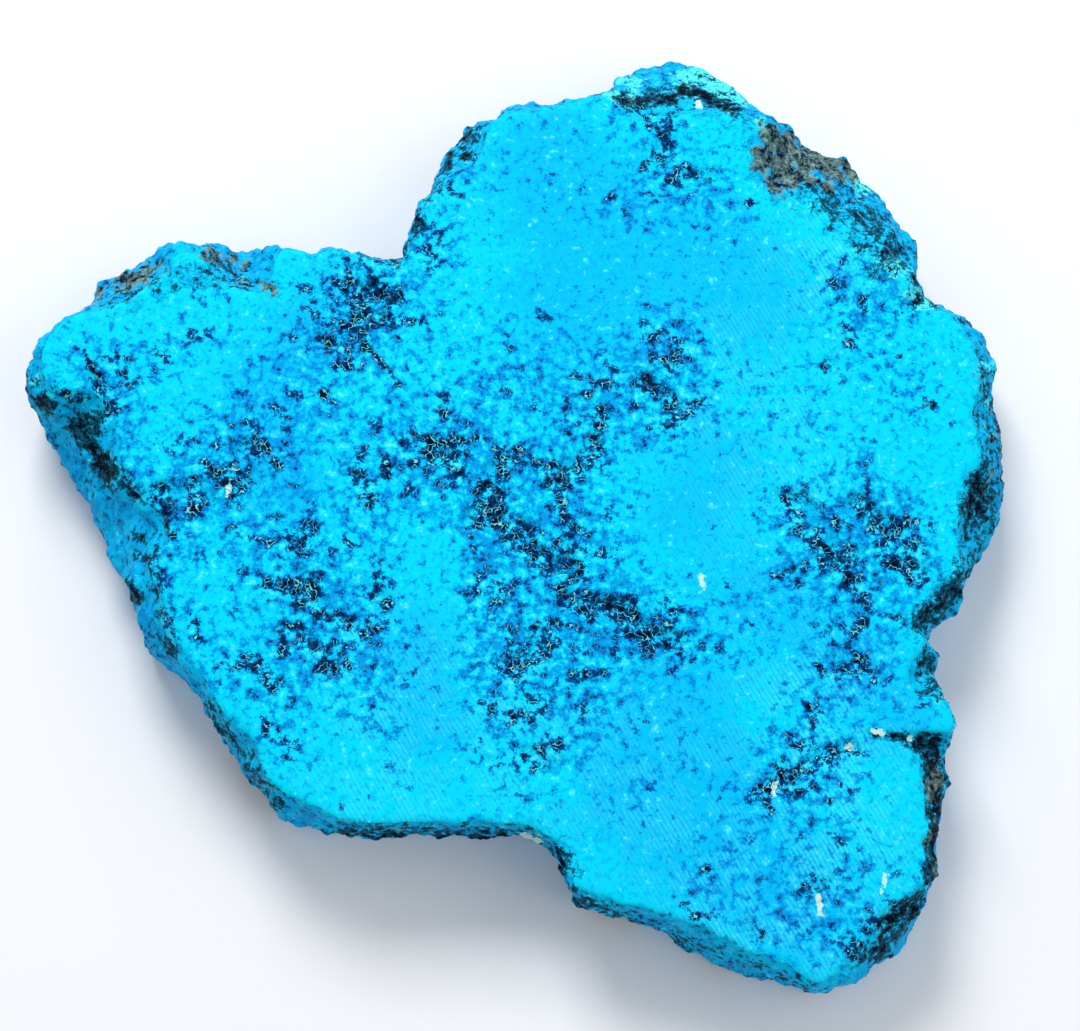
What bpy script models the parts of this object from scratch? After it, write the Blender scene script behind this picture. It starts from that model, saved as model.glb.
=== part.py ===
"""A slab sawn from a lump of turquoise, still wearing the rind of its host rock.

The stone is one solid that lies on its flat sawn back, with the sawn face up. Two outlines give
its plan: FACE_EDGE bounds the flat face, and RIM_EDGE is the outermost line of the broken rim
round it. A block of the rim's plan is meshed finely, its top is let fall from the face's edge to
the rim, its foot is drawn in, the rim is roughened and the face is pitted. Then the flat
stretches are thinned out again.
"""

import bpy
import numpy as np
from mathutils import Vector, noise

MM = 0.001

# Driving dimensions. The outlines below make the slab about 117 mm wide and 113 mm high.
THICKNESS = 16 * MM
MESH_STEP = 0.7 * MM
TRIANGLES = 9600

# The rim falls RIM_FALL mm for each mm that it stands out past the face's edge, and at most
# DEEPEST_FALL. As it falls it also flares, away from FLARE_CENTRE, by FLARE for each mm of fall.
RIM_FALL = 2.1
DEEPEST_FALL = 12 * MM
FLARE = 0.00256 / MM
FLARE_CENTRE = np.array([2.6, -82.0]) * MM
EDGE_SOFTNESS = 0.35 * MM

# The edge of the sawn face, in millimetres, clockwise from the left tip.
FACE_EDGE = [
    # left lobe, with the chips along its upper edge
    (-56.4, 19.2), (-55.8, 22.6), (-53.6, 25.4), (-49.8, 26.3), (-45.6, 28.2), (-43.9, 29.7),
    (-41.9, 30.6), (-40.6, 33.2), (-38.2, 32.8), (-36.6, 30.3), (-34.0, 28.9), (-30.6, 28.6),
    (-29.2, 30.6), (-28.4, 33.6), (-25.8, 34.0), (-24.4, 32.6), (-22.6, 34.1), (-18.2, 32.9),
    (-14.2, 32.0),
    # top lobe, up its left flank and over its crown
    (-13.0, 34.6), (-12.6, 37.2), (-10.6, 40.0), (-9.2, 41.8), (-7.0, 43.8), (-4.7, 45.2),
    (-3.8, 47.8), (-2.3, 50.7), (2.2, 51.1), (5.6, 52.0), (9.6, 53.2), (11.9, 51.8),
    (14.2, 50.8), (16.2, 48.9), (18.6, 50.2), (21.8, 51.2), (25.0, 50.9), (28.0, 50.1),
    (29.3, 47.0), (29.2, 43.2), (30.0, 41.2), (32.8, 41.6), (35.8, 40.2), (37.6, 37.6),
    (41.2, 35.8), (44.2, 33.8), (45.2, 31.6), (46.9, 30.4), (46.6, 28.4), (45.2, 27.0),
    (47.6, 26.2), (50.0, 26.6),
    # right lobe
    (52.6, 24.6), (54.2, 21.6), (54.8, 17.0), (53.6, 13.4), (54.6, 10.0), (54.2, 7.4),
    (52.2, 5.6), (52.7, 3.6), (51.4, 0.0), (51.6, -3.0), (52.0, -6.2), (49.6, -6.9),
    (48.0, -8.4), (47.5, -10.0), (45.0, -10.2), (46.4, -11.9), (47.6, -13.6), (46.2, -15.4),
    (45.4, -18.2), (46.2, -20.2),
    # tongue above the cleft, the cleft, and the lower right flank
    (49.4, -20.3), (50.4, -21.6), (50.9, -24.2), (48.0, -24.1), (44.4, -24.2), (41.2, -24.3),
    (43.2, -25.6), (46.2, -26.6), (46.9, -30.0), (46.8, -33.4), (47.5, -36.2), (45.8, -36.9),
    (47.1, -39.0), (46.6, -41.8), (44.6, -43.8), (42.8, -44.2), (41.2, -45.9), (39.9, -48.2),
    (38.4, -50.0), (36.6, -51.8), (34.8, -53.5),
    # foot and underside
    (31.4, -51.2), (28.6, -50.3), (25.6, -49.2), (22.4, -47.4), (18.0, -45.8), (13.0, -44.6),
    (9.4, -43.5), (6.6, -42.4), (5.0, -39.6), (3.7, -36.9), (1.4, -35.5), (-4.0, -34.9),
    (-12.0, -35.0), (-19.6, -34.9), (-23.6, -33.0), (-27.6, -31.0), (-29.3, -29.8),
    (-30.1, -26.2), (-31.4, -24.2), (-34.4, -22.0), (-35.4, -19.6), (-38.0, -16.0),
    (-40.4, -12.6), (-41.4, -8.6), (-41.5, -3.8), (-40.6, -0.4), (-42.2, 3.2), (-46.0, 6.4),
    (-47.0, 10.2), (-48.0, 15.2), (-50.8, 17.2), (-54.0, 16.2),
]

# The outermost line of the rim, in millimetres, clockwise from the left tip.
RIM_EDGE = [
    (-58.6, 17.6), (-58.2, 20.0), (-57.0, 23.1), (-54.2, 26.6), (-51.8, 27.8), (-51.5, 29.5),
    (-47.7, 31.9), (-44.2, 33.8), (-42.6, 34.9), (-36.4, 34.8), (-32.2, 34.7), (-29.4, 35.2),
    (-26.2, 34.6), (-24.4, 34.0), (-22.8, 35.1), (-19.4, 34.2), (-15.4, 33.2), (-14.1, 32.7),
    (-13.6, 36.0), (-12.8, 38.4), (-11.4, 40.8), (-10.5, 42.2), (-10.2, 44.8), (-7.6, 47.9),
    (-5.8, 50.0), (-3.3, 50.8), (-1.2, 52.8), (4.6, 53.3), (10.3, 54.1), (12.4, 55.8),
    (15.6, 57.2), (19.8, 57.6), (23.6, 56.4), (27.6, 54.2), (29.8, 52.0), (31.0, 50.5),
    (33.0, 49.1), (35.5, 46.8), (39.2, 45.7), (40.9, 43.5), (44.8, 40.0), (47.0, 36.3),
    (48.6, 33.2), (48.6, 29.2), (51.4, 28.0), (54.2, 25.8), (56.6, 22.3), (57.1, 18.6),
    (56.8, 15.4), (57.8, 10.0), (57.7, 5.4), (56.4, 0.4), (54.6, -3.2), (53.2, -5.4),
    (52.2, -8.6), (49.6, -11.0), (47.6, -12.5), (48.9, -14.7), (49.1, -18.6), (50.5, -20.9),
    (51.3, -24.8), (50.1, -26.3), (50.4, -29.4), (49.5, -32.4), (49.0, -37.2), (49.2, -40.4),
    (47.2, -43.8), (44.6, -48.5), (40.6, -51.4), (36.0, -53.6), (34.3, -53.9), (28.2, -52.2),
    (22.0, -50.2), (19.6, -48.6), (16.4, -46.6), (12.0, -45.1), (7.6, -44.1), (5.7, -41.6),
    (4.2, -37.6), (2.0, -35.9), (-3.0, -35.2), (-11.0, -35.3), (-19.0, -35.6), (-24.0, -34.6),
    (-28.3, -33.2), (-30.2, -30.4), (-32.4, -28.2), (-33.8, -25.6), (-36.6, -21.6),
    (-40.6, -16.8), (-43.4, -15.1), (-44.8, -11.6), (-45.4, -8.4), (-48.0, -3.6),
    (-50.4, 1.4), (-52.8, 5.6), (-55.0, 9.4), (-56.0, 12.6), (-57.8, 14.6),
]

# Ragged hollows in the face, where the dark veins have crumbled out of the stone. Each row gives
# the half width and depth of a band, and the points that it follows, all in millimetres.
CRUMBLED = [
    # left lobe
    (1.8, 0.5, [(-51.0, 17.0), (-48.6, 15.6)]),
    (1.9, 0.6, [(-46.0, 4.8), (-43.6, 3.8), (-37.8, 4.4), (-34.8, 3.0)]),
    (2.4, 0.6, [(-31.6, 10.2), (-30.0, 8.4), (-31.0, 6.0)]),
    (2.6, 0.7, [(-19.2, 29.8), (-18.4, 27.6), (-17.0, 25.6)]),
    (1.8, 0.5, [(-22.8, 23.2), (-21.2, 22.4)]),
    (0.8, 0.5, [(-18.2, 21.4), (-16.6, 19.4), (-15.6, 17.4)]),
    (2.2, 0.6, [(-25.4, -5.6), (-24.6, -7.4), (-22.6, -8.8)]),
    (1.8, 0.5, [(-18.2, -7.6), (-16.0, -9.6)]),
    (1.8, 0.5, [(-27.6, -13.0), (-24.8, -13.8)]),
    # the long vein across the middle, and what branches from it
    (2.2, 0.6, [(-11.2, 10.0), (-9.0, 9.2), (-7.0, 7.4)]),
    (1.8, 0.6, [(-3.0, 7.6), (-2.6, 5.4), (-3.6, 3.4)]),
    (2.3, 0.8, [(-5.0, 1.2), (-1.6, 0.6), (1.8, -2.6), (3.6, -3.4), (6.8, -5.4)]),
    (2.1, 0.9, [(5.6, -8.4), (8.4, -9.8), (11.2, -9.6), (13.0, -11.4), (17.4, -12.8)]),
    (1.6, 0.6, [(9.6, 13.0), (8.6, 10.2), (5.8, 7.0), (4.2, 5.0)]),
    (1.9, 0.5, [(2.2, -13.0), (1.8, -15.6), (-1.0, -17.4)]),
    (1.8, 0.5, [(1.4, -27.4), (4.2, -28.6)]),
    # top lobe
    (1.8, 0.6, [(17.6, 50.0), (17.8, 47.0), (16.6, 44.6)]),
    (1.6, 0.5, [(20.8, 44.2), (23.0, 43.2)]),
    (1.7, 0.7, [(15.2, 17.4), (17.0, 15.6), (19.6, 14.0)]),
    # right lobe
    (1.5, 0.4, [(40.4, 24.4), (42.2, 23.8)]),
    (1.3, 0.4, [(36.6, 19.4), (37.8, 18.8)]),
    (2.0, 0.7, [(31.4, 3.6), (34.0, 1.6), (36.4, -1.4), (38.6, -4.2)]),
    (2.2, 0.7, [(40.4, 2.6), (43.2, -0.6), (46.4, -5.0)]),
    # foot
    (1.9, 0.6, [(36.6, -16.0), (38.6, -17.0), (40.8, -18.4)]),
    (2.0, 0.6, [(28.6, -31.8), (30.6, -29.8), (33.6, -27.8), (38.0, -26.2)]),
    (1.4, 0.5, [(26.4, -47.2), (27.4, -48.2)]),
    (1.7, 0.4, [(34.2, -42.8), (34.6, -45.0)]),
]
CRUMB_WIDTH = 2.1 * MM

# Forms of the broken rim: broad swells, knobs on them, and ledges down the slope.
SWELL_WIDTH = 11 * MM
SWELL_HEIGHT = 0.9 * MM
LUMP_WIDTH = 4.2 * MM
LUMP_HEIGHT = 0.8 * MM
LEDGES = 3
LEDGE_DEPTH = 0.05

# Below FOOT_HEIGHT the wall draws in, by about FOOT_INSET where it meets the back.
FOOT_HEIGHT = 7 * MM
FOOT_INSET = 1.7 * MM
FOOT_REACH = 7 * MM

STONE_COLOUR = (0.0, 0.55, 0.80, 1.0)


def clear_scene():
    for found in list(bpy.data.objects):
        bpy.data.objects.remove(found)


def collection_named(name):
    made = bpy.data.collections.new(name)
    bpy.context.scene.collection.children.link(made)
    return made


def stone_material():
    material = bpy.data.materials.new("turquoise")
    material.use_nodes = True
    shader = material.node_tree.nodes["Principled BSDF"]
    shader.inputs["Base Color"].default_value = STONE_COLOUR
    shader.inputs["Roughness"].default_value = 0.55
    shader.inputs["Metallic"].default_value = 0.0
    return material


def closed_curve(name, points_mm, collection):
    """A smooth closed 2D curve through the points."""
    curve = bpy.data.curves.new(name, "CURVE")
    curve.dimensions = "2D"
    curve.fill_mode = "NONE"
    curve.resolution_u = 4
    spline = curve.splines.new("BEZIER")
    spline.bezier_points.add(len(points_mm) - 1)
    for knot, (x, y) in zip(spline.bezier_points, points_mm):
        knot.co = (x * MM, y * MM, 0)
        knot.handle_left_type = knot.handle_right_type = "AUTO"
    spline.use_cyclic_u = True
    made = bpy.data.objects.new(name, curve)
    collection.objects.link(made)
    made.hide_render = True
    made.display_type = "WIRE"
    return made


def evaluated_mesh(found):
    bpy.context.view_layer.update()
    graph = bpy.context.evaluated_depsgraph_get()
    return bpy.data.meshes.new_from_object(found.evaluated_get(graph))


def with_modifier(mesh, kind, **settings):
    """The mesh after one modifier; the mesh given is removed."""
    holder = bpy.data.objects.new("holder", mesh)
    bpy.context.scene.collection.objects.link(holder)
    modifier = holder.modifiers.new(kind, kind)
    for name, value in settings.items():
        setattr(modifier, name, value)
    changed = evaluated_mesh(holder)
    bpy.data.objects.remove(holder)
    bpy.data.meshes.remove(mesh)
    return changed


def points_of(mesh):
    return np.array([point.co for point in mesh.vertices])


def put_points(mesh, points):
    mesh.vertices.foreach_set("co", points.astype(np.float32).ravel())
    mesh.update()


def loop_of(curve_object):
    """The points along an unfilled curve, in order, as an (n, 2) array."""
    line = evaluated_mesh(curve_object)
    loop = points_of(line)[:, :2]
    bpy.data.meshes.remove(line)
    return loop


def offset_from(loop, points):
    """For each point, the way to it from the nearest place on the closed loop."""
    nearest = np.full(len(points), np.inf)
    ways = np.zeros_like(points)
    for start, end in zip(loop, np.roll(loop, -1, axis=0)):
        along = end - start
        length = along @ along
        if length == 0:
            continue
        way = points - start
        way = way - np.clip(way @ along / length, 0, 1)[:, None] * along
        square = (way * way).sum(axis=1)
        closer = square < nearest
        nearest[closer] = square[closer]
        ways[closer] = way[closer]
    return ways


def distance_to(loop, points):
    return np.linalg.norm(offset_from(loop, points), axis=1)


def lies_inside(loop, points):
    """True for each point within the closed loop, by counting the edges to its right."""
    inside = np.zeros(len(points), bool)
    x, y = points.T
    for (x0, y0), (x1, y1) in zip(loop, np.roll(loop, -1, axis=0)):
        if y0 == y1:
            continue
        spans = (y0 > y) != (y1 > y)
        inside ^= spans & (x < x0 + (y - y0) / (y1 - y0) * (x1 - x0))
    return inside


def rim_block(rim_curve):
    """A block of the rim's plan, THICKNESS high, meshed evenly."""
    rim_curve.data.fill_mode = "BOTH"
    rim_curve.data.extrude = THICKNESS / 2
    block = evaluated_mesh(rim_curve)
    put_points(block, points_of(block) + [0, 0, THICKNESS / 2])
    return with_modifier(block, "REMESH", mode="VOXEL", voxel_size=MESH_STEP)


def fall_below_face(points, face_loop, rim_loop):
    """How far the top lies below the face at each plan point."""
    off_face = np.where(lies_inside(face_loop, points), 0.0, distance_to(face_loop, points))
    to_rim = np.where(lies_inside(rim_loop, points), distance_to(rim_loop, points), 0.0)
    width = off_face + to_rim
    share = off_face / (width + EDGE_SOFTNESS)
    deepest = np.minimum(DEEPEST_FALL, RIM_FALL * width)
    ledges = LEDGE_DEPTH * np.sin(2 * np.pi * LEDGES * share)
    rounded = 1 - np.sqrt(1 - share**2)
    return deepest * np.clip(0.55 * share + 0.45 * rounded + ledges * share, 0, 1)


def foot_inset(points, rim_loop):
    """How far each point of the foot moves in from the rim."""
    ways = offset_from(rim_loop, points[:, :2])
    distances = np.linalg.norm(ways, axis=1)
    low = np.clip(1 - points[:, 2] / FOOT_HEIGHT, 0, 1) ** 2
    near_rim = np.clip(1 - distances / FOOT_REACH, 0, 1)
    uneven = np.array([1 + 1.3 * noise.noise(Vector(point) / SWELL_WIDTH) for point in points])
    inward = ways / (distances[:, None] + 0.01 * MM)
    inward[~lies_inside(rim_loop, points[:, :2])] *= -1
    return FOOT_INSET * (low * near_rim * uneven)[:, None] * inward


def crumbled_depths(points):
    """Depth of the crumbled hollows at each plan point: ragged islands strung along the bands."""
    crumbs = np.array([noise.noise(Vector((*point, 0)) / CRUMB_WIDTH) for point in points])
    depths = np.zeros(len(points))
    for half_width, depth, line in CRUMBLED:
        there_and_back = np.array(line + line[-2:0:-1]) * MM
        nearness = 1 - distance_to(there_and_back, points) / (half_width * MM)
        sunk = np.clip(2 * (nearness + 1.6 * crumbs - 0.25), 0, 1)
        depths = np.maximum(depths, depth * MM * np.where(nearness > 0, sunk, 0))
    return depths


def rim_relief(place):
    """Height of the broken rim's swells and lumps at one point in space."""
    swell = noise.noise(place / SWELL_WIDTH)
    near, next_near = noise.voronoi(place / LUMP_WIDTH)[0][:2]
    return SWELL_HEIGHT * swell + LUMP_HEIGHT * (1.6 * (next_near - near) - 0.7)


def let_rim_fall(mesh, face_loop, rim_loop):
    """Lowers the top outside the face, flares what it has lowered, and draws in the foot."""
    points = points_of(mesh)
    plan = points[:, :2].copy()
    fall = fall_below_face(plan, face_loop, rim_loop)
    points[:, 2] *= (THICKNESS - fall) / THICKNESS
    inset = foot_inset(points, rim_loop)
    points[:, :2] += FLARE * fall[:, None] * (plan - FLARE_CENTRE) + inset
    put_points(mesh, points)


def roughen(mesh):
    """Raises lumps on the rim and sinks the hollows in the face; face and back stay flat."""
    points = points_of(mesh)
    normals = np.array([point.normal for point in mesh.vertices])
    on_face = points[:, 2] > THICKNESS - 0.4 * MESH_STEP
    on_back = points[:, 2] < 0.4 * MESH_STEP
    below_face = np.clip((THICKNESS - points[:, 2] - 0.3 * MM) / MM, 0, 1)
    above_back = np.clip((points[:, 2] - 0.3 * MM) / MM, 0, 1)
    broken = below_face * above_back
    for i in np.flatnonzero(broken):
        points[i] += broken[i] * rim_relief(Vector(points[i])) * normals[i]
    points[on_face, 2] = THICKNESS
    points[on_back, 2] = 0
    points[on_face, 2] -= crumbled_depths(points[on_face, :2])
    put_points(mesh, points)


def flatten(mesh):
    """Puts the thinned face and back exactly in their planes again."""
    points = points_of(mesh)
    points[points[:, 2] < 0.12 * MM, 2] = 0
    points[points[:, 2] > THICKNESS - 0.12 * MM, 2] = THICKNESS
    put_points(mesh, points)


def centre_on_origin(mesh, guides):
    points = points_of(mesh)
    middle = (points.min(axis=0) + points.max(axis=0)) / 2
    middle[2] = 0
    put_points(mesh, points - middle)
    for guide in guides.objects:
        guide.location = -Vector(middle)


def build():
    clear_scene()
    guides = collection_named("outlines")
    face_loop = loop_of(closed_curve("face_edge", FACE_EDGE, guides))
    rim_curve = closed_curve("rim_edge", RIM_EDGE, guides)
    rim_loop = loop_of(rim_curve)

    mesh = rim_block(rim_curve)
    let_rim_fall(mesh, face_loop, rim_loop)
    mesh = with_modifier(mesh, "REMESH", mode="VOXEL", voxel_size=MESH_STEP)
    roughen(mesh)
    mesh = with_modifier(mesh, "TRIANGULATE")
    kept = TRIANGLES / len(mesh.polygons)
    mesh = with_modifier(mesh, "DECIMATE", ratio=kept)
    flatten(mesh)
    centre_on_origin(mesh, guides)

    slab = bpy.data.objects.new("turquoise_slab", mesh)
    slab.data.materials.clear()
    slab.data.materials.append(stone_material())
    collection_named("turquoise slab").objects.link(slab)


build()
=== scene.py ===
"""The look of the turquoise slab: a finer copy of its solid, its veined face and crusted rim."""

import math

import bpy
import numpy as np
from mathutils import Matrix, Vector, noise


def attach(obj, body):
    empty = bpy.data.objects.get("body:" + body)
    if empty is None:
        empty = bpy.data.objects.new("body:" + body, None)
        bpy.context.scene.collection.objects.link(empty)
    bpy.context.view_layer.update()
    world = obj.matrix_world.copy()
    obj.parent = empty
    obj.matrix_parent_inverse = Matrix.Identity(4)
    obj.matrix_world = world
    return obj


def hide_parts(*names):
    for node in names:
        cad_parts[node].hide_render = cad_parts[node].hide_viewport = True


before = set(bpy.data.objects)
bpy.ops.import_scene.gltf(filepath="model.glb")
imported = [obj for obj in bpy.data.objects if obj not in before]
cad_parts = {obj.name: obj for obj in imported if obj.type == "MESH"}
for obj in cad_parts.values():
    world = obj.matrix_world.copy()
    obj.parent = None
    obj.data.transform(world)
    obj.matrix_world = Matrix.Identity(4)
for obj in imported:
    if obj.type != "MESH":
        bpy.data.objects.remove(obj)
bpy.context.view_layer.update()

MM = 0.001

# The photograph's camera: it looks down on the lying slab, 12 degrees off the plumb line.
TARGET = np.array([2.86, -2.0, 16.0]) * MM
DISTANCE = 400 * MM
OFF_PLUMB = math.radians(12)
LENS = 113.3
EYE = TARGET + DISTANCE * np.array([0, -math.sin(OFF_PLUMB), math.cos(OFF_PLUMB)])

# Plan points below are in millimetres, as read on the face; this moves them to the slab's origin.
PLAN_SHIFT = np.array([0.26, -3.4])

THICKNESS = 16 * MM
FINE_STEP = 0.45 * MM
DRIFT_WIDTH = 7 * MM

# Blue haze round each vein: its strength beside the vein's, and how much wider it is, in mm.
HAZE_SHARE = 0.33
HAZE_SPREAD = 2.8

# Relief in millimetres: the crust's rise, what broken rind adds to it, chips, crumbled veins.
CRUST_RISE = 0.26
BROKEN_RISE = 0.16
CHIP_RISE = 0.25
VEIN_SINK = 0.22

# Colours of the stone, its veins and its rind.
CYAN = (0.0, 0.68, 0.93, 1)
AZURE = (0.0, 0.53, 0.90, 1)
# FLANK: deep blue of the rim's walls, partly painted shade; also a fine tone on the face.
FLANK = (0.0, 0.38, 0.82, 1)
STAIN = (0.0, 0.25, 0.72, 1)
MID_BLUE = (0.0, 0.13, 0.44, 1)
NAVY = (0.0, 0.040, 0.16, 1)
BLACK = (0.0, 0.005, 0.018, 1)
# GLINT: pale grains in the dark veins, partly painted highlight where their pits glint.
GLINT = (0.13, 0.69, 0.80, 1)
TEAL = (0.004, 0.07, 0.12, 1)
ROCK = (0.09, 0.145, 0.13, 1)
PALE_ROCK = (0.25, 0.40, 0.36, 1)
CHALK = (0.10, 0.92, 0.96, 1)
PALE_CHIP = (0.52, 0.80, 0.76, 1)
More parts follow.
